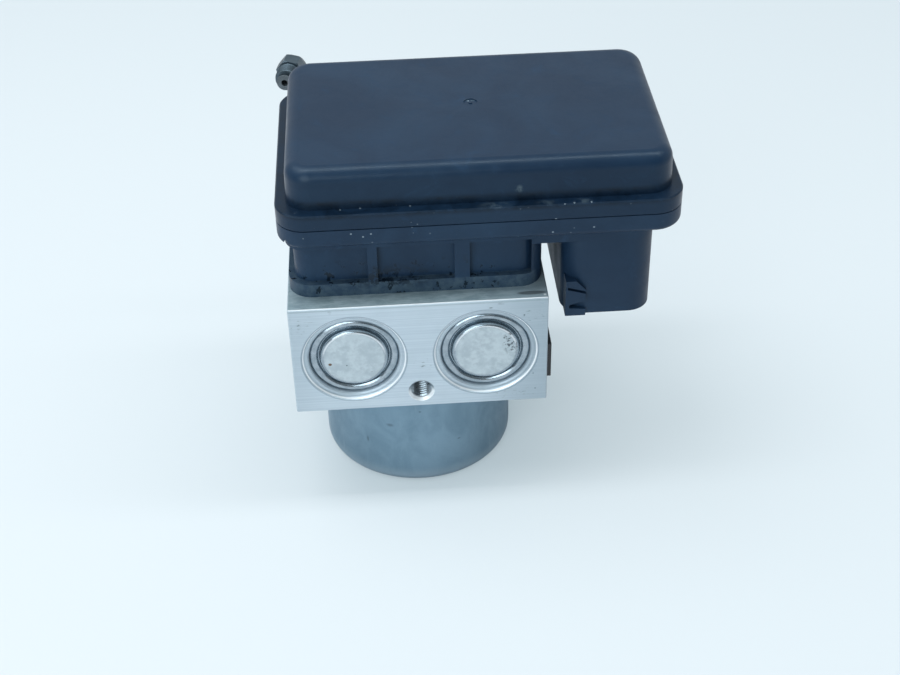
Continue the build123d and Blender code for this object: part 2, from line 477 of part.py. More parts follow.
# narrow slots in the tray floor let the pins up to the board
PIN_ROWS = (SH_X0 + 10.1, SH_X0 + 14.1, SH_X0 + 20.1, SH_X0 + 24.1)
PIN_PITCH, PIN_FIRST, PIN_MARGIN = 3.5, 27.8, 6.0
PIN_Y0 = SH_Y0 + PIN_FIRST
PIN_COUNT = int((SH_L - SH_WALL - PIN_FIRST - PIN_MARGIN) / PIN_PITCH) + 1
BLADES = [(SH_X0 + x, SH_Y0 + y) for x in (12.1, 22.1) for y in (9.8, 18.8)]
for x in PIN_ROWS:
    house -= box(x - 1.0, x + 1.0, PIN_Y0 - 1.2, PIN_Y0 + PIN_PITCH * (PIN_COUNT - 1) + 1.2,
                 TRAY_Z0 - 1, TRAY_FLOOR + 1)
for x, y in BLADES:
    house -= box(x - 3.0, x + 3.0, y - 1.0, y + 1.0, TRAY_Z0 - 1, TRAY_FLOOR + 1)
# keying ribs inside the socket
for y in (SH_Y0 + 24.8, SH_Y0 + 42.8):
    house += box(SH_X1 - SH_WALL - 1.3, SH_X1 - SH_WALL + 0.5, y - 1, y + 1, SH_Z0 + 2,
                 SOCKET_FLOOR)
house += box(SH_X0 + SH_WALL - 0.5, SH_X0 + SH_WALL + 1.3, SH_Y0 + 50.8, SH_Y0 + 52.8,
             SH_Z0 + 2, SOCKET_FLOOR)
# posts that carry the board
POSTS = [(FL_X0 + 8.0, FL_Y0 + 21.8), (FL_X0 + 8.0, FL_Y0 + 59.8), (BASE_X1 + 0.2, FL_Y0 + 9.8),
         (BASE_X1 + 0.2, FL_Y1 - 13.3), (TRAY_X1 - 7.5, FL_Y1 - 13.3), (FL_X0 + 49.9, FL_Y1 - 14.3),
         (FL_X0 + 8.9, FL_Y1 - 9.3)]
for x, y in POSTS:
    house += zcyl(x, y, 1.5 if x < FL_X0 + 8.5 else 2.4, TRAY_FLOOR - 0.5, BOARD_Z)
# groove for the seal against the block
groove = rounded(BASE_X0 + 1.5, BASE_X1 - 1.5, BASE_Y0 + 1.5, BASE_Y1 - 1.5, BASE_R - 1.5,
                 BZ1 - 1, BZ1 + 1.2)
groove -= rounded(BASE_X0 + 3.3, BASE_X1 - 3.3, BASE_Y0 + 3.3, BASE_Y1 - 3.3, BASE_R - 3.3,
                  BZ1 - 2, BZ1 + 2)
house -= groove
save(house, "ecu_housing")

seal = rounded(BASE_X0 + 1.6, BASE_X1 - 1.6, BASE_Y0 + 1.6, BASE_Y1 - 1.6, BASE_R - 1.6,
               BZ1, BZ1 + 1.2)
seal -= rounded(BASE_X0 + 3.2, BASE_X1 - 3.2, BASE_Y0 + 3.2, BASE_Y1 - 3.2, BASE_R - 3.2,
                BZ1 - 1, BZ1 + 2)
save(seal, "block_seal")

screws = []
for x, y in SCREW_AT:
    screw = zcyl(x, y, 2.05, BZ1 - 10.5, BOSS_TOP + 1) + zcyl(x, y, 4.1, BOSS_TOP, BOSS_TOP + 3.2)
    screw -= Pos(x, y, BOSS_TOP + 1.2) * extrude(RegularPolygon(2.0, 6), amount=3)
    screws.append(screw)
save(group(screws), "ecu_screws")

# connector header and pins
PINS = [(x, PIN_Y0 + PIN_PITCH * k, 0.35, 0.35) for x in PIN_ROWS for k in range(PIN_COUNT)]
PINS += [(x, y, 2.4, 0.4) for x, y in BLADES]
header = rounded(SH_X0 + SH_WALL + FIT, SH_X1 - SH_WALL - FIT, SH_Y0 + SH_WALL + FIT,
                 SH_Y1 - SH_WALL - FIT, SH_R - SH_WALL - FIT, SOCKET_FLOOR, TRAY_Z0)
for x, y, a, b in PINS:
    header -= box(x - a, x + a, y - b, y + b, SOCKET_FLOOR - 1, TRAY_Z0 + 1)
save(header, "connector_header")
save(group([box(x - a, x + a, y - b, y + b, SOCKET_FLOOR - 18.0, BOARD_Z) for x, y, a, b in PINS]),
     "connector_pins")

# circuit board and what stands on it
BOARD_TOP = BOARD_Z + BOARD_T
BD_X0, BD_X1, BD_Y0, BD_Y1 = (FL_X0 + RIM + 0.8, TRAY_X1 - TRAY_WALL - 0.9, FL_Y0 + RIM + 0.8,
                              FL_Y1 - RIM - 0.9)
BOARD_W, BOARD_D = BD_X1 - BD_X0, BD_Y1 - BD_Y0
save(rounded(BD_X0, BD_X1, BD_Y0, BD_Y1, 3.0, BOARD_Z, BOARD_TOP), "circuit_board")


def on_board(x, y, part):
    """A component set down on the board, measured from the board's front left corner."""
    return Pos(BD_X0 + x, BD_Y0 + y, BOARD_TOP) * part


chips = [box(-8, 8, -8, 8, 0, 1.5), box(-5, 5, -5, 5, 0, 1.2), box(-6, 6, -4, 4, 0, 2.2)]
save(group([on_board(50.6, BOARD_D / 2 + 0.3, chips[0]), on_board(BOARD_W - 54.6, 20.5, chips[1]),
            on_board(24.6, 20.5, chips[2]), on_board(24.6, BOARD_D - 27.9, chips[2]),
            on_board(BOARD_W - 50.6, BOARD_D - 19.9, chips[1])]), "board_chips")
save(group([on_board(BOARD_W - 24.6, BOARD_D - 11.9, zcyl(0, 0, 6.3, 0, 16)),
            on_board(BOARD_W - 8.2, BOARD_D - 11.9, zcyl(0, 0, 6.3, 0, 16)),
            on_board(10.6, BOARD_D - 9.9, zcyl(0, 0, 4.0, 0, 10))]), "board_capacitors")
save(on_board(BOARD_W - 28.6, 6.5, box(0, 18, 0, 18, 0, 15)), "motor_relay")

# ---------------------------------------------------------------- lid
LID_FOOT = SEAM_Z + SEAM_GAP / 2
GROW = (LID_TOP - FL_Z1) * math.tan(math.radians(LID_DRAFT))
lid_top = rounded(LID_X0 - GROW, LID_X1 + GROW, LID_Y0 - GROW, LID_Y1 + GROW, LID_R + GROW,
                  FL_Z1, LID_TOP, taper=LID_DRAFT)
lid_top = fillet(lid_top.edges().group_by(Axis.Z)[-1], LID_EDGE_R)
lid_flange = rounded(FL_X0, FL_X1, FL_Y0, FL_Y1, FL_R, LID_FOOT, FL_Z1)
lid_flange = chamfer(lid_flange.edges().group_by(Axis.Z)[-1], 0.5)
lid = lid_flange + lid_top
hollow = rounded(LID_X0 + LID_WALL, LID_X1 - LID_WALL, LID_Y0 + LID_WALL, LID_Y1 - LID_WALL,
                 LID_R - LID_WALL, LID_FOOT - 1, LID_TOP - LID_WALL)
lid -= fillet(hollow.edges().group_by(Axis.Z)[-1], LID_EDGE_R - LID_WALL)
# moulding gate: shallow dimple with a broken nib in the middle
GATE_X, GATE_Y = (LID_X0 + LID_X1) / 2, LID_Y0 + 44.9
lid -= zcyl(GATE_X, GATE_Y, 2.6, LID_TOP - 0.3, LID_TOP + 1)
lid += zcyl(GATE_X, GATE_Y, 0.7, LID_TOP - 0.6, LID_TOP - 0.05)
save(lid, "ecu_lid")
lid_seal = rounded(FL_X0 + 1.2, FL_X1 - 1.2, FL_Y0 + 1.2, FL_Y1 - 1.2, FL_R - 1.2,
                   HOUSE_TOP, LID_FOOT)
lid_seal -= rounded(FL_X0 + 4.0, FL_X1 - 4.0, FL_Y0 + 4.0, FL_Y1 - 4.0, FL_R - 4.0,
                    HOUSE_TOP - 1, LID_FOOT + 1)
save(lid_seal, "lid_seal")

# ---------------------------------------------------------------- brake pipe left in a port
PIPE_R = 2.375
PIPE_X = VALVE_X[0]
END = Vector(FL_X0 + 2.0, FL_Y1 + 6.4, FL_Z1 + 0.7)    # free end, front left of its bend
TAIL_DIR = Vector(0.2, 1, 0).normalized()
CORNER = END + TAIL_DIR * 24.0
path = FilletPolyline((PIPE_X, PORT_END + 0.4, WHEEL_Z), (PIPE_X, CORNER.Y, WHEEL_Z),
                      (CORNER.X, CORNER.Y, END.Z), (END.X, END.Y, END.Z), radius=[12.0, 8.0])
pipe = sweep(Plane(origin=path @ 0, z_dir=path % 0) * Circle(PIPE_R), path=path)
flare = spun([(0, 0), (3.3, 0), (3.3, 0.9), (PIPE_R, 2.2), (0, 2.2)])
pipe += Pos(PIPE_X, PORT_END + 0.2, WHEEL_Z) * Rot(-90, 0, 0) * flare
pipe += Plane(origin=END - TAIL_DIR * 1.0, z_dir=TAIL_DIR) * flare
pipe -= Plane(origin=END - TAIL_DIR * 2.0, z_dir=TAIL_DIR) * Pos(0, 0, 6) * Cylinder(1.4, 12)
save(pipe, "brake_pipe")
NUT_AF, NUT_THREAD, NUT_HEX = 10.0, 6.5, 6.5
nut = extrude(RegularPolygon(NUT_AF / 2, 6, major_radius=False), amount=NUT_HEX)
nut &= spun([(0, 0), (5.1, 0), (6.0, 0.8), (6.0, NUT_HEX - 0.8), (5.1, NUT_HEX), (0, NUT_HEX)])
nut += Pos(0, 0, -NUT_THREAD / 2) * Cylinder(WHEEL_R - 0.15, NUT_THREAD)
nut -= Cylinder(PIPE_R + 0.08, 60)
port_nut = Pos(PIPE_X, BY1 - 0.8 + 0.3, WHEEL_Z) * Rot(-90, 0, 0) * nut
end_nut = Plane(origin=END + TAIL_DIR * (NUT_THREAD + 1.4), z_dir=TAIL_DIR) * Rot(0, 0, 10) * nut
save(group([port_nut, end_nut]), "pipe_nuts")

print("written", len([f for f in os.listdir("parts") if f.endswith(".step")]), "nodes")
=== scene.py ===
import bpy
import math
import numpy as np
from mathutils import Matrix


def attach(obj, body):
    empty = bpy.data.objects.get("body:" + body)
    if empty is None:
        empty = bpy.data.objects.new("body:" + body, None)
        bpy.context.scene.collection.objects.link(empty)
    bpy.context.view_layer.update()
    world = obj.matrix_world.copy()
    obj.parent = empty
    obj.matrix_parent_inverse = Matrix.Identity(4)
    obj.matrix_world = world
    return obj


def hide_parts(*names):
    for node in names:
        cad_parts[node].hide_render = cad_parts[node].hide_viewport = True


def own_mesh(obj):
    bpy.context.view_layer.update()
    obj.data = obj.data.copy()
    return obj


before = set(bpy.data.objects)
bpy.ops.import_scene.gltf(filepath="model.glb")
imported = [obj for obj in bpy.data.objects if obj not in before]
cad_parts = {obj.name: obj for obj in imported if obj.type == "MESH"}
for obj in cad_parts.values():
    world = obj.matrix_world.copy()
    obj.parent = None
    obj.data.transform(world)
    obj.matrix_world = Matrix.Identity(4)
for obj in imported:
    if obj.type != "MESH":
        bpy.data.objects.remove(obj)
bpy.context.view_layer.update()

# ---- Table, camera and light.
# A white cloth-covered bench in a bright pale room, lit by a wide softbox above and to the left, a
# long narrow strip overhead and a soft fill from the front left. The camera stands in front, above
# the control unit, and looks down at it.
CAMERA_PLACE = (-0.0111461, -0.4910244, 0.4248433)
CAMERA_YAW, CAMERA_PITCH, CAMERA_ROLL = -0.052347, 0.634427, -0.021958
CAMERA_LENS, SENSOR_WIDTH = 60.09, 36.0
VIEW_SHIFT = -37.5 / 900    # the lens axis is 37.5 of 900 parts of the width above the middle
ROOM, ROOM_STRENGTH, ROOM_LOW = (0.84, 0.91, 0.95), 0.78, 0.22
BENCH_HALF = 3.0
DAYLIGHT, COOL_LIGHT = (0.93, 0.97, 1.0), (0.9, 0.96, 1.0)


def camera_axes(yaw, pitch, roll):
    """Rows right, down and forward: turned about Z, tipped down, then rolled about the line of sight."""
    cy, sy, cp, sp = math.cos(yaw), math.sin(yaw), math.cos(pitch), math.sin(pitch)
    cr, sr = math.cos(roll), math.sin(roll)
    turn = np.array([[cy, sy, 0], [-sy, cy, 0], [0, 0, 1]])
    tip = np.array([[1, 0, 0], [0, cp, -sp], [0, sp, cp]])
    picture = np.array([[1, 0, 0], [0, 0, -1], [0, 1, 0]])
    return np.array([[cr, -sr, 0], [sr, cr, 0], [0, 0, 1]]) @ picture @ tip @ turn


axes = camera_axes(CAMERA_YAW, CAMERA_PITCH, CAMERA_ROLL)
camera = bpy.data.objects.new("camera", bpy.data.cameras.new("camera"))
bpy.context.scene.collection.objects.link(camera)
camera.matrix_world = Matrix([[axes[0][i], -axes[1][i], -axes[2][i], CAMERA_PLACE[i]]
                              for i in range(3)] + [[0, 0, 0, 1]])
camera.data.lens, camera.data.sensor_width = CAMERA_LENS, SENSOR_WIDTH
camera.data.shift_y = VIEW_SHIFT
camera.data.clip_start, camera.data.clip_end = 0.01, 20.0
bpy.context.scene.camera = camera
bpy.context.scene.view_settings.view_transform = "Standard"

room = bpy.data.worlds.new("room")
bpy.context.scene.world = room
room.use_nodes = True
tree = room.node_tree
back = tree.nodes["Background"]
back.inputs["Strength"].default_value = ROOM_STRENGTH


def softbox(name, place, aim, size, power, colour):
    """A rectangular area lamp at place that faces aim; size is its width and depth."""
    lamp = bpy.data.lights.new(name, "AREA")
    lamp.shape = "RECTANGLE"
    lamp.size, lamp.size_y = size
    lamp.energy, lamp.color = power, colour
    holder = bpy.data.objects.new(name, lamp)
    bpy.context.scene.collection.objects.link(holder)
    away = np.array(place) - np.array(aim)
    away = away / np.linalg.norm(away)
    side = np.cross((0, 1, 0.01), away)
    side = side / np.linalg.norm(side)
    up = np.cross(away, side)
    holder.matrix_world = Matrix([[side[i], up[i], away[i], place[i]] for i in range(3)]
                                 + [[0, 0, 0, 1]])


softbox("overhead", (-0.50, 0.08, 1.10), (0, 0, 0.05), (1.0, 1.0), 6.3, DAYLIGHT)
softbox("strip", (0.15, -0.02, 1.15), (0.02, 0, 0.14), (1.7, 0.15), 8.0, DAYLIGHT)
softbox("front_fill", (-0.5, -1.1, 0.55), (0, 0, 0.07), (0.9, 0.9), 9.0, COOL_LIGHT)


def new_finish(name):
    """A named material: its node tree, its Principled shader and the piece's own coordinates."""
    mat = bpy.data.materials.new(name)
    mat.use_nodes = True
    tree = mat.node_tree
    coordinates = tree.nodes.new("ShaderNodeTexCoord")
    return mat, tree, tree.nodes["Principled BSDF"], coordinates.outputs["Object"]


def spread(tree, value, low, high, to_low=0.0, to_high=1.0):
    """The value's span low..high carried to to_low..to_high, held at the ends."""
    node = tree.nodes.new("ShaderNodeMapRange")
    node.interpolation_type = "SMOOTHSTEP"
    for name, number in (("From Min", low), ("From Max", high),
                         ("To Min", to_low), ("To Max", to_high)):
        node.inputs[name].default_value = number
    tree.links.new(value, node.inputs["Value"])
    return node.outputs["Result"]


def sums(tree, kind, a, b):
    """One arithmetic step on two sockets or numbers."""
    node = tree.nodes.new("ShaderNodeMath")
    node.operation = kind
    for socket, value in zip(node.inputs, (a, b)):
        if isinstance(value, (int, float)):
            socket.default_value = value
        else:
            tree.links.new(value, socket)
    return node.outputs[0]


def tint(tree, amount, a, b):
    """Colour a going over to colour b by amount; each is a socket or three numbers."""
    node = tree.nodes.new("ShaderNodeMix")
    node.data_type = "RGBA"
    for socket, value in ((node.inputs["Factor"], amount),
                          (node.inputs[6], a), (node.inputs[7], b)):
        if isinstance(value, tuple):
            socket.default_value = (*value, 1)
        elif isinstance(value, (int, float)):
            socket.default_value = value
        else:
            tree.links.new(value, socket)
    return node.outputs[2]


def split(tree, here):
    """The X, Y and Z of the coordinates."""
    node = tree.nodes.new("ShaderNodeSeparateXYZ")
    tree.links.new(here, node.inputs[0])
    return node.outputs


def both(tree, a, b):
    """Where both masks are on; a plain number thins the other mask."""
    return sums(tree, "MULTIPLY", a, b)


# The room is bright overhead and to the sides, and dim low down behind the camera.
tree = room.node_tree
toward = split(tree, tree.nodes.new("ShaderNodeTexCoord").outputs["Generated"])
lit = sums(tree, "MAXIMUM", spread(tree, toward[1], -0.75, -0.1),
           spread(tree, toward[2], 0.45, 0.8))
tree.links.new(tint(tree, lit, tuple(ROOM_LOW * c for c in ROOM), ROOM), back.inputs["Color"])

# The bench: a large white cloth. Seen by the camera, it gives off a share of pale blue light of its
# own, which keeps it evenly bright; every other ray meets plain cloth.
GLOW_SHARE = 0.36
cloth, tree, bsdf, here = new_finish("bench_cloth")
bsdf.inputs["Base Color"].default_value = (0.625, 0.630, 0.640, 1)
bsdf.inputs["Roughness"].default_value = 0.9
bsdf.inputs["Specular IOR Level"].default_value = 0.1
glow = tree.nodes.new("ShaderNodeEmission")
glow.inputs["Color"].default_value = (0.68, 0.87, 0.95, 1)
ray, blend = tree.nodes.new("ShaderNodeLightPath"), tree.nodes.new("ShaderNodeMixShader")
tree.links.new(both(tree, ray.outputs["Is Camera Ray"], GLOW_SHARE), blend.inputs[0])
tree.links.new(bsdf.outputs[0], blend.inputs[1])
tree.links.new(glow.outputs[0], blend.inputs[2])
tree.links.new(blend.outputs[0], tree.nodes["Material Output"].inputs["Surface"])
steps = np.linspace(-BENCH_HALF, BENCH_HALF, 3)
floor_points = np.array([(x, y, 0.0) for y in steps for x in steps])
mesh = bpy.data.meshes.new("bench")
mesh.from_pydata(floor_points.tolist(), [], [(0, 1, 4, 3), (1, 2, 5, 4), (3, 4, 7, 6), (4, 5, 8, 7)])
mesh.materials.append(cloth)
bench = bpy.data.objects.new("bench", mesh)
bpy.context.scene.collection.objects.link(bench)

# ---- Pump motor.
# A deep-drawn steel can with a rounded closed end, zinc plated and gone dull and blotchy. Two ears
# under the block take the screws that hold it. Specks are given by place and half widths, in metres.
MOTOR_SPECKS = [((-0.0216, -0.0319, 0.0190), (0.0007, 0.002, 0.0022)),
                ((0.0151, -0.0354, 0.0196), (0.0010, 0.002, 0.0006)),
                ((-0.0003, -0.0385, 0.0372), (0.0008, 0.002, 0.0007)),
                ((-0.0124, -0.0364, 0.0295), (0.0022, 0.002, 0.0012))]


def moved(tree, here, place=(0, 0, 0), scale=(1, 1, 1)):
    """Coordinates stretched and then shifted for one pattern."""
    node = tree.nodes.new("ShaderNodeMapping")
    node.inputs["Location"].default_value = place
    node.inputs["Scale"].default_value = scale
    tree.links.new(here, node.inputs["Vector"])
    return node.outputs["Vector"]


def cloud(tree, here, scale, detail=4.0, rough=0.55, warp=0.0):
    """Noise from 0 to 1 with features of about 1/scale metres."""
    node = tree.nodes.new("ShaderNodeTexNoise")
    node.inputs["Scale"].default_value = scale
    node.inputs["Detail"].default_value = detail
    node.inputs["Roughness"].default_value = rough
    node.inputs["Distortion"].default_value = warp
    tree.links.new(here, node.inputs["Vector"])
    return node.outputs["Fac"]


def relief(tree, bsdf, height, depth, under=None):
    """Bump of that depth in metres, on top of another bump if there is one."""
    node = tree.nodes.new("ShaderNodeBump")
    node.inputs["Strength"].default_value = 1.0
    node.inputs["Distance"].default_value = depth
    tree.links.new(height, node.inputs["Height"])
    if under is not None:
        tree.links.new(under, node.inputs["Normal"])
    tree.links.new(node.outputs["Normal"], bsdf.inputs["Normal"])
    return node.outputs["Normal"]


def vector_length(tree, vector):
    """How long a vector is."""
    node = tree.nodes.new("ShaderNodeVectorMath")
    node.operation = "LENGTH"
    tree.links.new(vector, node.inputs[0])
    return node.outputs["Value"]


def patch(tree, here, centre, half, edge=0.35):
    """1 inside an ellipsoid of those half widths, fading to 0 over the share edge of its radius."""
    inside = moved(tree, here, tuple(-c / h for c, h in zip(centre, half)),
                   tuple(1 / h for h in half))
    return spread(tree, vector_length(tree, inside), 1 - edge, 1, 1, 0)


def dress(mat, *nodes):
    """The finish goes on these CAD pieces."""
    for name in nodes:
        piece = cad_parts[name].data
        piece.materials.clear()
        piece.materials.append(mat)


motor_zinc, tree, bsdf, here = new_finish("motor_zinc")
blotch = cloud(tree, moved(tree, here, scale=(1, 1, 0.6)), 70, 6, 0.65, 0.6)
fine = cloud(tree, here, 900, 5, 0.7)
streak = cloud(tree, moved(tree, here, scale=(1, 1, 0.12)), 260, 3)
shade = tint(tree, spread(tree, blotch, 0.35, 0.68), (0.163, 0.270, 0.348), (0.198, 0.315, 0.402))
shade = tint(tree, spread(tree, fine, 0.58, 0.78, 0, 0.35), shade, (0.12, 0.18, 0.23))
shade = tint(tree, spread(tree, streak, 0.6, 0.8, 0, 0.25), shade, (0.38, 0.48, 0.54))
# lighter towards the bottom edge of the can's closed end
lighter_foot = spread(tree, split(tree, here)[2], 0.008, 0.002, 0, 0.5)
shade = tint(tree, lighter_foot, shade, (0.38, 0.48, 0.55))
for centre, half in MOTOR_SPECKS:
    speck = both(tree, patch(tree, here, centre, half, 0.8), 0.55)
    shade = tint(tree, speck, shade, (0.07, 0.11, 0.14))
tree.links.new(shade, bsdf.inputs["Base Color"])
bsdf.inputs["Metallic"].default_value = 0.7
tree.links.new(spread(tree, blotch, 0.3, 0.7, 0.56, 0.40), bsdf.inputs["Roughness"])
relief(tree, bsdf, fine, 0.00006)
dress(motor_zinc, "motor_can")

# Rotor, magnets and brushes inside the can: laminated steel, enamelled copper, ferrite and carbon.
def plain_metal(name, colour, rough, metallic=0.95, grain=1200, depth=0.00002):
    """Metal with faint uneven tone and a fine grain."""
    mat, tree, bsdf, here = new_finish(name)
    tone = cloud(tree, here, grain / 8, 5, 0.6)
    dark = tuple(0.72 * c for c in colour)
    shade = tint(tree, spread(tree, tone, 0.35, 0.7), dark, colour)
    tree.links.new(shade, bsdf.inputs["Base Color"])
    bsdf.inputs["Metallic"].default_value = metallic
    tree.links.new(spread(tree, tone, 0.3, 0.7, rough + 0.08, rough - 0.06), bsdf.inputs["Roughness"])
    relief(tree, bsdf, cloud(tree, here, grain, 3), depth)
    return mat


ground_steel = plain_metal("ground_steel", (0.42, 0.46, 0.50), 0.28)
dress(ground_steel, "motor_shaft", "bearing_inner_ring", "bearing_outer_ring", "bearing_balls",
      "eccentric_ring", "pump_piston_left", "pump_piston_right", "pump_sleeves")
dress(plain_metal("laminated_steel", (0.20, 0.21, 0.22), 0.5), "armature_core", "coil_yokes")
dress(plain_metal("enamelled_copper", (0.42, 0.16, 0.07), 0.35), "armature_windings", "coil_windings")
dress(plain_metal("turned_copper", (0.60, 0.30, 0.16), 0.3), "commutator")
dress(plain_metal("ferrite", (0.035, 0.035, 0.04), 0.6, 0.1), "motor_magnets")
dress(plain_metal("carbon", (0.03, 0.03, 0.03), 0.7, 0.0), "motor_brushes")
dress(plain_metal("sintered_bronze", (0.36, 0.21, 0.10), 0.5), "shaft_bushes")

# ---- Valve block.
# A block sawn and milled from extruded aluminium, left bare. The cutter leaves fine lines along each
# face, and handling leaves a few dark marks and nicks. A grey film of grime lies along the top, painted
# darker as the reflection of the dark housing; painted shade and highlights lie on edges, ends and hollows.
FRONT, TOP = -0.045, 0.095          # front and top faces of the block
CAP_X, CAP_Z = (-0.0245, 0.0255), 0.0705
HOLE_X, HOLE_Z, HOLE_R = 0.0005, 0.0535, 0.0041
EDGE = 0.0002                       # softness of a turned line
# Turned lines round each cap, the pale one a painted highlight on the caulked bead: from and to
# radius, strength, colour.
CAULK_LINES_AND_HIGHLIGHT = [(0.0200, 0.0202, 0.65, (0.20, 0.27, 0.33)), (0.0170, 0.0172, 0.4, (0.18, 0.24, 0.29)),
               (0.0193, 0.0196, 1.0, (0.82, 0.88, 0.91))]
# Areas of worn dashes, and single marks with their colours: place and half widths in metres.
DASHED = [((-0.0440, FRONT, 0.089), (0.007, 0.002, 0.008)), ((0.0435, FRONT, 0.087), (0.007, 0.002, 0.007)),
          ((0.0360, FRONT, 0.050), (0.013, 0.002, 0.004)), ((0.0015, FRONT, 0.066), (0.006, 0.002, 0.005))]
MARKS = [((0.0430, -0.0415, TOP), (0.0065, 0.0014, 0.001), (0.07, 0.09, 0.10)),
         ((0.0477, -0.0430, TOP), (0.0006, 0.0006, 0.001), (0.75, 0.80, 0.82)),
         ((0.0274, FRONT, 0.0915), (0.0008, 0.001, 0.0003), (0.12, 0.16, 0.19)),
         ((0.0399, FRONT, 0.0874), (0.0004, 0.001, 0.0005), (0.10, 0.14, 0.17)),
         ((0.0445, FRONT, 0.0517), (0.0004, 0.001, 0.0003), (0.10, 0.14, 0.17)),
         ((0.0436, FRONT, 0.0592), (0.0003, 0.001, 0.0004), (0.10, 0.14, 0.17))]


def zone(tree, value, low, high, soft):
    """1 while value lies from low to high, falling to 0 over soft on both sides."""
    return both(tree, spread(tree, value, low - soft, low),
                spread(tree, value, high + soft, high))


def from_axis(tree, here, x, z):
    """Distance from a line along Y through x and z, in metres."""
    return vector_length(tree, moved(tree, here, place=(-x, 0, -z), scale=(1, 0, 1)))


milled, tree, bsdf, here = new_finish("milled_aluminium")
place = split(tree, here)
lines = cloud(tree, moved(tree, here, scale=(12, 12, 2600)), 1.0, 4, 0.6)
fine_lines = cloud(tree, moved(tree, here, scale=(40, 40, 7000)), 1.0, 3, 0.7)
grey = cloud(tree, here, 45, 5, 0.6)
spots = cloud(tree, here, 620, 3, 0.5)
shade = tint(tree, spread(tree, lines, 0.3, 0.7), (0.455, 0.555, 0.630), (0.545, 0.645, 0.710))
shade = tint(tree, spread(tree, grey, 0.35, 0.7, 0, 0.35), shade, (0.42, 0.52, 0.58))
shade = tint(tree, spread(tree, spots, 0.76, 0.80), shade, (0.10, 0.14, 0.17))
near_top = spread(tree, place[2], TOP - 0.006, TOP + 0.0002)
grime = spread(tree, cloud(tree, moved(tree, here, scale=(1, 1, 2.5)), 190, 5, 0.6), 0.60, 0.72)
shade = tint(tree, both(tree, both(tree, grime, near_top), 0.55), shade, (0.20, 0.25, 0.28))
# the top face: a mottled film of grime, painted darker as the reflection of the dark housing;
# painted shade in a line under the top edge; and painted shade towards both ends
top = spread(tree, place[2], TOP - 0.0003, TOP - 0.0001)
# grime film, painted darker as the reflection of the dark housing above
top_film_and_reflection = spread(tree, cloud(tree, moved(tree, here, scale=(0.3, 1, 1)), 420, 5, 0.7), 0.35, 0.65)
top_film_and_reflection = tint(tree, top_film_and_reflection, (0.125, 0.205, 0.225), (0.29, 0.39, 0.415))
shade = tint(tree, both(tree, top, 0.75), shade, top_film_and_reflection)
# painted shade of the small chamfer under the top edge
edge_shade = both(tree, spread(tree, place[2], TOP - 0.0015, TOP - 0.0011),
                  spread(tree, place[2], TOP - 0.0005, TOP - 0.0008))
edge_shade = both(tree, edge_shade, spread(tree, lines, 0.3, 0.6, 0.1, 0.5))
shade = tint(tree, edge_shade, shade, (0.22, 0.30, 0.32))
# painted shade: the block darkens towards its ends, most to the right, where the light falls off
ends = sums(tree, "MAXIMUM", spread(tree, place[0], -0.030, -0.048, 0, 0.25),
            spread(tree, place[0], 0.015, 0.049, 0, 0.6))
shade = tint(tree, ends, shade, (0.26, 0.34, 0.39))
# the caulked mouths, with turned rings and painted shade on each cone and a painted highlight on
# its bead, and the countersunk threaded hole, with painted shade inside and a painted countersink;
# on the front face alone
elsewhere = sums(tree, "SUBTRACT", 1.0, spread(tree, place[1], -0.026, -0.030))
for x in CAP_X:
    far = sums(tree, "ADD", from_axis(tree, here, x, CAP_Z), elsewhere)
    turned = spread(tree, cloud(tree, far, 2600, 2), 0.35, 0.7, 0.15, 0.5)
    # turned rings, with painted shade on the sloping caulked cone
    cone_rings_and_shade = both(tree, zone(tree, far, 0.0173, 0.0196, EDGE), turned)
    shade = tint(tree, cone_rings_and_shade, shade, (0.25, 0.32, 0.37))
    for low, high, strength, colour in CAULK_LINES_AND_HIGHLIGHT:
        shade = tint(tree, both(tree, zone(tree, far, low, high, EDGE), strength), shade, colour)
far = sums(tree, "ADD", from_axis(tree, here, HOLE_X, HOLE_Z), elsewhere)
# painted shade deep inside the threaded hole
inside = both(tree, spread(tree, far, HOLE_R + EDGE, HOLE_R),
              spread(tree, place[1], FRONT + 0.0003, FRONT + 0.0015))
shade = tint(tree, inside, shade, (0.10, 0.14, 0.17))
# a painted countersink round the hole: painted highlight below, painted shade above
countersink_light_and_shade = tint(tree, spread(tree, place[2], HOLE_Z - 0.001, HOLE_Z + 0.002),
            (0.80, 0.86, 0.89), (0.24, 0.31, 0.36))
shade = tint(tree, zone(tree, far, 0.0040, 0.0049, 0.0003), shade, countersink_light_and_shade)
# wear, and a painted highlight along the front top edge
dashes = spread(tree, cloud(tree, moved(tree, here, scale=(420, 420, 1500)), 1.0, 4, 0.6), 0.60, 0.66)
for centre, half in DASHED:
    worn = both(tree, both(tree, patch(tree, here, centre, half, 0.8), dashes), 0.85)
    shade = tint(tree, worn, shade, (0.20, 0.26, 0.29))
# painted highlight on the front top edge
edge_highlight = both(tree, top, spread(tree, place[1], FRONT + 0.0006, FRONT + 0.0002))
shade = tint(tree, edge_highlight, shade, (0.86, 0.90, 0.92))
for centre, half, colour in MARKS:
    shade = tint(tree, both(tree, patch(tree, here, centre, half), 0.8), shade, colour)
tree.links.new(shade, bsdf.inputs["Base Color"])
bsdf.inputs["Metallic"].default_value = 0.5
tree.links.new(spread(tree, lines, 0.3, 0.7, 0.46, 0.34), bsdf.inputs["Roughness"])
first = relief(tree, bsdf, lines, 0.00003)
relief(tree, bsdf, fine_lines, 0.00002, first)
dress(milled, "valve_block")

# ---- Accumulator caps.
# Two steel cups pressed with a raised middle and a trough round it, then caulked into the block.
# The middle is dull and pitted, most of all on the right cap; the trough and rim are bright. A painted
# highlight lies on the upper edge of the middle, and painted shade on its flank and in the trough.
CAP_FACE = -0.0443


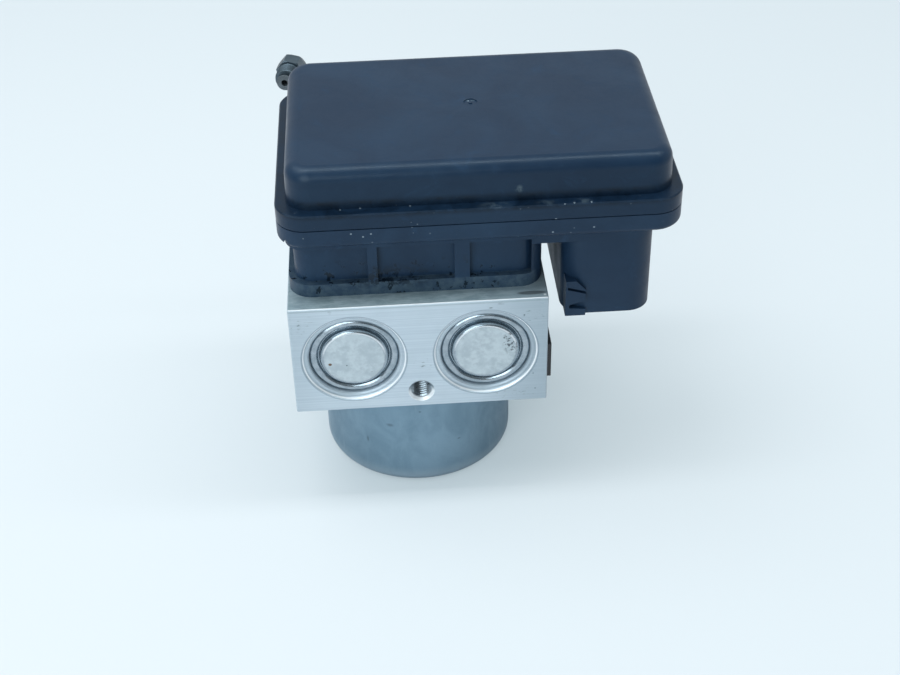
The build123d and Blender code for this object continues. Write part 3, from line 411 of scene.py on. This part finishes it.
def cap_finish(name, x, marks, pitted):
    """Pressed steel whose tone follows the distance from the cap's own axis; marks are single stains."""
    mat, tree, bsdf, here = new_finish(name)
    far = from_axis(tree, here, x, CAP_Z)
    flat = spread(tree, far, 0.0110, 0.0119, 1, 0)
    mottle = cloud(tree, here, 330, 6, 0.65)
    wide = cloud(tree, here, 90, 3)
    shade = tint(tree, spread(tree, mottle, 0.4, 0.66), (0.42, 0.505, 0.55), (0.54, 0.63, 0.67))
    shade = tint(tree, spread(tree, wide, 0.45, 0.65, 0, 0.5), shade, (0.56, 0.655, 0.695))
    rim = tint(tree, spread(tree, mottle, 0.35, 0.65), (0.27, 0.34, 0.39), (0.38, 0.45, 0.50))
    shade = tint(tree, flat, rim, shade)
    # painted highlight on the upper arc of the raised middle's edge
    upper = spread(tree, split(tree, here)[2], CAP_Z - 0.0005, CAP_Z + 0.0055)
    lip = both(tree, zone(tree, far, 0.0117, 0.0121, EDGE), upper)
    shade = tint(tree, lip, shade, (0.78, 0.84, 0.88))
    # painted shade on the flank of the raised middle and in the trough
    for low, high, soft, strength, colour in ((0.0121, 0.0131, 0.0006, 0.4, (0.26, 0.33, 0.38)),
                                              (0.0132, 0.0138, 0.0004, 0.15, (0.16, 0.22, 0.26))):
        shade = tint(tree, both(tree, zone(tree, far, low, high, soft), strength), shade, colour)
    for centre, half, colour in marks:
        shade = tint(tree, patch(tree, here, centre, half), shade, colour)
    worn = patch(tree, here, (x + 0.0097, CAP_FACE, 0.0745), (0.0040, 0.003, 0.0075), 0.7)
    worn = both(tree, worn, spread(tree, cloud(tree, here, 900, 4, 0.6), 0.53, 0.57, 0, pitted))
    pits = sums(tree, "MAXIMUM", spread(tree, cloud(tree, here, 540, 2), 0.74, 0.78), worn)
    shade = tint(tree, pits, shade, (0.08, 0.10, 0.12))
    tree.links.new(shade, bsdf.inputs["Base Color"])
    bsdf.inputs["Metallic"].default_value = 0.9
    dull = both(tree, flat, spread(tree, mottle, 0.3, 0.7, 0.18, 0.3))
    tree.links.new(sums(tree, "ADD", 0.20, dull), bsdf.inputs["Roughness"])
    relief(tree, bsdf, both(tree, mottle, sums(tree, "ADD", flat, 0.25)), 0.00012)
    return mat


LEFT_MARKS = [((-0.0338, CAP_FACE, 0.0681), (0.0008, 0.002, 0.0007), (0.16, 0.11, 0.08)),
              ((-0.0275, CAP_FACE, 0.0672), (0.0003, 0.002, 0.0003), (0.06, 0.08, 0.10))]
RIGHT_MARKS = [((0.0372, -0.0450, 0.0781), (0.0012, 0.003, 0.0008), (0.14, 0.17, 0.19)),
               ((0.0325, -0.0450, 0.0765), (0.0005, 0.003, 0.0004), (0.16, 0.20, 0.22))]
dress(cap_finish("pressed_steel_left", CAP_X[0], LEFT_MARKS, 0.0), "accumulator_cap_left")
dress(cap_finish("pressed_steel_right", CAP_X[1], RIGHT_MARKS, 0.9), "accumulator_cap_right")
dress(plain_metal("turned_aluminium", (0.55, 0.60, 0.63), 0.35),
      "accumulator_piston_left", "accumulator_piston_right")
dress(plain_metal("spring_wire", (0.30, 0.32, 0.34), 0.3), "accumulator_spring_left",
      "accumulator_spring_right", "pump_spring_left", "pump_spring_right", "valve_springs", "brush_springs")

# The springs behind the accumulator pistons shorten as the pistons move: each keeps its seat on the
# cap, and KEEP is the share of its length that the pistons' full travel leaves. Here each spring is
# only copied into a piece of its own; the table's joint, axis, seat and share are not used.
SEAT_Y, KEEP = -0.04258, 0.633
SPRINGS = [(f"accumulator_spring_{side}", f"accumulator_{side}_stroke", (0, 1, 0), (x, SEAT_Y, CAP_Z), KEEP)
           for side, x in zip(("left", "right"), CAP_X)]


def copied(name, node, shift=None):
    """A copy of a CAD piece that stands for it; shift gives each point's move, in millimetres."""
    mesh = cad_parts[node].data.copy()
    if shift:
        points = 1000 * np.array([v.co for v in mesh.vertices], float)
        mesh.vertices.foreach_set("co", ((points + shift(points)) / 1000).ravel())
        mesh.update()
    piece = bpy.data.objects.new(name, mesh)
    bpy.context.scene.collection.objects.link(piece)
    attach(piece, "module")
    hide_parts(node)
    return piece


for name, joint, axis, seat, keep in SPRINGS:
    coil = copied(name + "_coil", name)
    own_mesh(coil)

# ---- Threads.
# Cut threads in the block's holes and on one pipe nut. The ridge is a four-cornered section carried
# along a screw line on the wall of each hole or shank.
RIDGE_FOOT, RIDGE_CREST = 0.42, 0.09    # half widths of the ridge, as shares of the pitch


def screw_ridge(r_wall, r_crest, pitch, length, steps=40):
    """Points of a closed four-corner section carried along a helix about Z: at step k the angle is
    2 pi k / steps and the height pitch k / steps, and the section fades to the wall at both ends."""
    count = int(length / pitch * steps)
    k = np.arange(count + 1)
    angle, rise = 2 * np.pi * k / steps, pitch * k / steps
    fade = np.clip(np.minimum(k, count - k) / (steps * 0.5), 0.05, 1)
    away = 0.02 * np.sign(r_wall - r_crest)
    corners = [(r_wall + away, -RIDGE_FOOT * pitch), (None, -RIDGE_CREST * pitch),
               (None, RIDGE_CREST * pitch), (r_wall + away, RIDGE_FOOT * pitch)]
    rings = []
    for r, dz in corners:
        radius = np.full(k.shape, r) if r is not None else r_wall + (r_crest - r_wall) * fade
        rings.append(np.stack([radius * np.cos(angle), radius * np.sin(angle), rise + dz], axis=1))
    points = np.stack(rings, axis=1).reshape(-1, 3) / 1000
    order = (0, 1, 2, 3) if r_crest > r_wall else (3, 2, 1, 0)
    faces = [order, tuple(count * 4 + c for c in order[::-1])]
    for a, b in zip(order, order[1:] + order[:1]):
        faces += [(4 * i + a, 4 * i + 4 + a, 4 * i + 4 + b, 4 * i + b) for i in range(count)]
    return points, faces


def grid_piece(name, points, faces, mat, body="module"):
    """A new mesh piece from arrays of points and faces, riding on a body."""
    mesh = bpy.data.meshes.new(name)
    mesh.from_pydata(points.tolist(), [], faces)
    mesh.update()
    mesh.materials.append(mat)
    piece = bpy.data.objects.new(name, mesh)
    bpy.context.scene.collection.objects.link(piece)
    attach(piece, body)
    return piece


def along(points, place, direction):
    """Points about Z carried to a place in millimetres, with Z turned to a direction."""
    z = np.array(direction, float) / np.linalg.norm(direction)
    x = np.cross((0.3, 0.2, 0.93), z)
    x = x / np.linalg.norm(x)
    return points @ np.stack([x, np.cross(z, x), z]) + np.array(place) / 1000


cut_metal = plain_metal("cut_thread", (0.28, 0.34, 0.38), 0.22, 1.0, 2500)
# Each hole's thread, in millimetres: wall radius, crest radius, pitch, length, start and direction.
HOLES = [("front_hole_thread", 4.02, 3.4, 1.25, 11.9, (0.5, -31.8, 53.5), (0, -1, 0)),
         ("right_hole_thread", 2.52, 2.2, 1.0, 11.0, (37.4, 30.0, 72.0), (1, 0, 0)),
         ("left_hole_thread", 2.52, 2.2, 1.0, 11.0, (-36.4, 30.0, 72.0), (-1, 0, 0)),
         ("left_master_thread", 5.52, 5.2, 1.0, 11.0, (-22.0, 33.0, 58.0), (0, 1, 0)),
         ("right_master_thread", 5.52, 5.2, 1.0, 11.0, (23.0, 33.0, 58.0), (0, 1, 0))]
HOLES += [(f"wheel_thread_{i}", 4.52, 4.2, 1.0, 10.4, (x, 33.6, 82.0), (0, 1, 0))
          for i, x in ((2, -13.0), (3, 14.0), (4, 32.0))]
for name, wall, crest, pitch, length, place, direction in HOLES:
    points, faces = screw_ridge(wall, crest, pitch, length)
    grid_piece(name, along(points, place, direction), faces, cut_metal)

# ---- Brake pipe.
# A short piece of coated steel pipe left in one port, bent up behind the control unit, with a
# flare and a zinc-plated hexagon nut at each end.
zinc = plain_metal("zinc_plate", (0.27, 0.34, 0.40), 0.33, 0.9)
dress(zinc, "ecu_screws", "motor_screws", "pump_plugs")
# the nuts are a darker zinc than the plain plate
darker_zinc = plain_metal("darker_zinc_plate", (0.10, 0.14, 0.17), 0.36, 0.85)
dress(darker_zinc, "pipe_nuts")
dress(plain_metal("coated_pipe", (0.12, 0.15, 0.17), 0.4, 0.5), "brake_pipe")
END, TAIL = (-47.9, 61.7, 132.9), (0.2, 1, 0)      # the pipe's free end and its direction, in mm
SHANK_R, CREST_R, PITCH, THREAD_L, THREAD_START = 4.33, 4.72, 1.0, 5.6, 1.9
tail = np.array(TAIL) / np.linalg.norm(TAIL)
points, faces = screw_ridge(SHANK_R, CREST_R, PITCH, THREAD_L)
grid_piece("end_nut_thread", along(points, np.array(END) + tail * THREAD_START, tail), faces, darker_zinc)

# ---- Control unit housing and lid.
# Two mouldings of black glass-filled nylon. The lid has a soft satin skin, slightly scuffed, with
# faint dried stains; dust and grit sit in the joint, and oil has wetted the foot of the housing.
FLANGE_FRONT, LEDGE = -0.0398, 0.1322    # front of the flanges, and the ledge round the lid's body
# Places, in metres: pale dried smudges with their half widths, and single grains of grit.
SMUDGES = [((0.0385, -0.0360, 0.1370), (0.0022, 0.003, 0.0022)),
           ((0.0480, -0.0380, LEDGE), (0.0060, 0.0022, 0.0014)),
           ((0.0610, -0.0380, LEDGE), (0.0050, 0.0022, 0.0014)),
           ((0.0290, -0.0380, 0.1330), (0.0090, 0.0030, 0.0030)),
           ((0.0245, 0.0120, 0.1479), (0.0030, 0.0012, 0.0010))]
GRIT = [(-0.0426, FLANGE_FRONT, 0.1260), (-0.0227, FLANGE_FRONT, 0.1241), (-0.0184, FLANGE_FRONT, 0.1226),
        (-0.0155, FLANGE_FRONT, 0.1237), (0.0515, FLANGE_FRONT, 0.1261), (0.0505, FLANGE_FRONT, 0.1205),
        (0.0655, FLANGE_FRONT, 0.1218), (-0.0189, -0.0356, LEDGE), (-0.0261, -0.0361, LEDGE),
        (-0.0009, -0.0357, LEDGE), (0.0546, -0.0396, LEDGE), (0.0581, -0.0390, LEDGE),
        (0.0643, -0.0390, LEDGE), (0.0238, 0.0118, 0.1478), (0.0250, 0.0121, 0.1479)]
GRAIN_SIZE = (0.00042, 0.0006, 0.00036)


def moulding(name, base, scuffed, rough, wet=False):
    """Black nylon: faint clouding, scuffs and stains, a fine spark-eroded grain, dust near the joint, and
    dirt with painted shade at the foot of the lid's body.
    """
    mat, tree, bsdf, here = new_finish(name)
    place = split(tree, here)
    clouding = cloud(tree, here, 26, 5, 0.6, 0.4)
    stains = cloud(tree, here, 95, 6, 0.7, 0.8)
    grain = cloud(tree, here, 2600, 2, 0.5)
    shade = tint(tree, spread(tree, clouding, 0.35, 0.7), base, scuffed)
    shade = tint(tree, spread(tree, stains, 0.56, 0.72, 0, 0.35), shade, tuple(1.5 * c for c in scuffed))
    near = both(tree, spread(tree, place[2], 0.116, 0.121), spread(tree, place[2], 0.136, 0.131))
    specks = tree.nodes.new("ShaderNodeTexVoronoi")
    specks.inputs["Scale"].default_value = 330
    tree.links.new(here, specks.inputs["Vector"])
    dot = spread(tree, specks.outputs["Distance"], 0.07, 0.12, 1, 0)
    few = spread(tree, cloud(tree, here, 60, 2), 0.49, 0.56)
    dust = both(tree, both(tree, both(tree, dot, few), near), 0.35)
    shade = tint(tree, dust, shade, (0.26, 0.33, 0.38))
    broken = spread(tree, cloud(tree, here, 420, 5, 0.65), 0.42, 0.62, 0, 0.8)
    for centre, half in SMUDGES:
        smudge = both(tree, patch(tree, here, centre, half, 0.8), broken)
        shade = tint(tree, smudge, shade, (0.075, 0.110, 0.135))
    for centre in GRIT:
        shade = tint(tree, patch(tree, here, centre, GRAIN_SIZE), shade, (0.20, 0.26, 0.31))
    # dirt and painted shade in the crease on the ledge at the foot of the lid's body
    foot = both(tree, zone(tree, place[2], LEDGE - 0.0004, LEDGE + 0.0023, 0.002),
                spread(tree, stains, 0.3, 0.6, 0.9, 0.4))
    shade = tint(tree, foot, shade, tuple(0.35 * c for c in base))
    rough_now = spread(tree, stains, 0.35, 0.7, rough, rough + 0.12)
    if wet:
        low = both(tree, spread(tree, place[2], 0.113, 0.101), spread(tree, place[0], 0.034, 0.028))
        band = both(tree, spread(tree, place[2], 0.1012, 0.1002), spread(tree, place[0], 0.046, 0.044))
        dirt = spread(tree, cloud(tree, here, 300, 5, 0.7), 0.35, 0.7, 0.25, 0.9)
        shade = tint(tree, both(tree, band, dirt), shade, (0.050, 0.082, 0.110))
        drops = spread(tree, cloud(tree, moved(tree, here, scale=(1, 1, 0.7)), 260, 5, 0.6), 0.58, 0.62)
        pool = patch(tree, here, (-0.0080, -0.0372, 0.1020), (0.0230, 0.0060, 0.0060), 0.9)
        pool = both(tree, pool, spread(tree, cloud(tree, here, 380, 5, 0.65), 0.47, 0.53))
        oil = sums(tree, "MAXIMUM", both(tree, drops, low), pool)
        shade = tint(tree, both(tree, oil, 0.9), shade, (0.002, 0.006, 0.012))
        rough_now = sums(tree, "SUBTRACT", rough_now, both(tree, oil, 0.28))
    tree.links.new(shade, bsdf.inputs["Base Color"])
    tree.links.new(rough_now, bsdf.inputs["Roughness"])
    bsdf.inputs["Specular IOR Level"].default_value = 0.25
    bsdf.inputs["Specular Tint"].default_value = (0.76, 0.93, 1.0, 1)
    first = relief(tree, bsdf, grain, 0.00003)
    relief(tree, bsdf, cloud(tree, here, 14, 2), 0.0006, first)
    return mat


dress(moulding("lid_nylon", (0.005, 0.017, 0.040), (0.008, 0.025, 0.054), 0.29), "ecu_lid")
dress(moulding("housing_nylon", (0.0075, 0.022, 0.049), (0.0125, 0.034, 0.070), 0.38, wet=True),
      "ecu_housing")

# The lid's body stands a little farther back and right on its flange than the CAD piece's, and the
# housing's flange has a deeper lower lip. Each is a copy of the CAD piece with points shifted by a
# millimetre or two. Lengths are in millimetres.
BODY_MIDDLE, BODY_STRAIGHT = (24.1, 7.15), (60.5, 33.25)    # middle and straight half sides
BODY_REACH = 10.5                   # takes in the body's foot and corners, but not the flange's edge
BODY_RIGHT, BODY_BACK, BODY_FOOT, BODY_HIGH = 94.1, 49.9, 132.2, 15.3
BODY_MOVE = (1.5, 2.4, 0.4)


def lid_shift(points):
    """Body points move right, back and up in step with their own X, Y and height over the foot."""
    x, y, z = points.T
    out = np.hypot(np.maximum(abs(x - BODY_MIDDLE[0]) - BODY_STRAIGHT[0], 0),
                   np.maximum(abs(y - BODY_MIDDLE[1]) - BODY_STRAIGHT[1], 0))
    body = (z > BODY_FOOT - 0.3) & (out < BODY_REACH)
    share = np.stack([x / BODY_RIGHT, y / BODY_BACK, (z - BODY_FOOT) / BODY_HIGH], 1)
    return np.clip(share, 0, 1) * BODY_MOVE * body[:, None]


LIP_LOW, LIP_HIGH, LIP_DROP = 119.1, 121.45, 1.1
TRAY_LEFT, TRAY_RIGHT, TRAY_FRONT, TRAY_BACK = -47.25, 89.35, -37.15, 52.65


def lip_shift(points):
    """Points of the flange's lower edge, outside the tray, move down."""
    x, y, z = points.T
    outside = (x < TRAY_LEFT) | (x > TRAY_RIGHT) | (y < TRAY_FRONT) | (y > TRAY_BACK)
    return np.outer((z > LIP_LOW) & (z < LIP_HIGH) & outside, (0, 0, -LIP_DROP))


copied("lid_shell", "ecu_lid", lid_shift)
copied("housing_shell", "ecu_housing", lip_shift)

# Seals: black rubber cords pressed into their grooves.
def soft_black(name, colour, rough):
    """Matt black rubber or plastic with a faint uneven tone."""
    mat, tree, bsdf, here = new_finish(name)
    tone = cloud(tree, here, 160, 4)
    tree.links.new(tint(tree, spread(tree, tone, 0.35, 0.7), colour, tuple(1.6 * c for c in colour)),
                   bsdf.inputs["Base Color"])
    bsdf.inputs["Roughness"].default_value = rough
    relief(tree, bsdf, cloud(tree, here, 1800, 2), 0.00003)
    return mat


dress(soft_black("seal_rubber", (0.006, 0.007, 0.008), 0.8), "lid_seal", "block_seal")
dress(soft_black("black_plate", (0.006, 0.008, 0.010), 0.45), "side_plate")
dress(soft_black("inner_nylon", (0.012, 0.014, 0.017), 0.5), "connector_header", "brush_plate",
      "coil_bobbins", "motor_lead_plug", "motor_relay", "board_chips")

# ---- Circuit board, pins and valves inside the control unit.
# Lacquered glass board, tinned brass pins, drawn steel valve domes and plungers.
dress(plain_metal("tinned_brass", (0.62, 0.60, 0.52), 0.25, 1.0),
      "connector_pins", "coil_pins", "motor_lead_pins")
dress(plain_metal("valve_steel", (0.50, 0.54, 0.57), 0.3), "inlet_valves", "outlet_valves",
      *[f"{row}_plunger_{i}" for row in ("inlet", "outlet") for i in (1, 2, 3, 4)])
dress(plain_metal("capacitor_can", (0.60, 0.62, 0.64), 0.35, 0.9), "board_capacitors")
board, tree, bsdf, here = new_finish("lacquered_board")
weave = cloud(tree, moved(tree, here, scale=(1, 4, 1)), 500, 3)
shade = tint(tree, spread(tree, weave, 0.35, 0.7), (0.010, 0.055, 0.028), (0.018, 0.085, 0.042))
tree.links.new(shade, bsdf.inputs["Base Color"])
bsdf.inputs["Roughness"].default_value = 0.3
dress(board, "circuit_board")
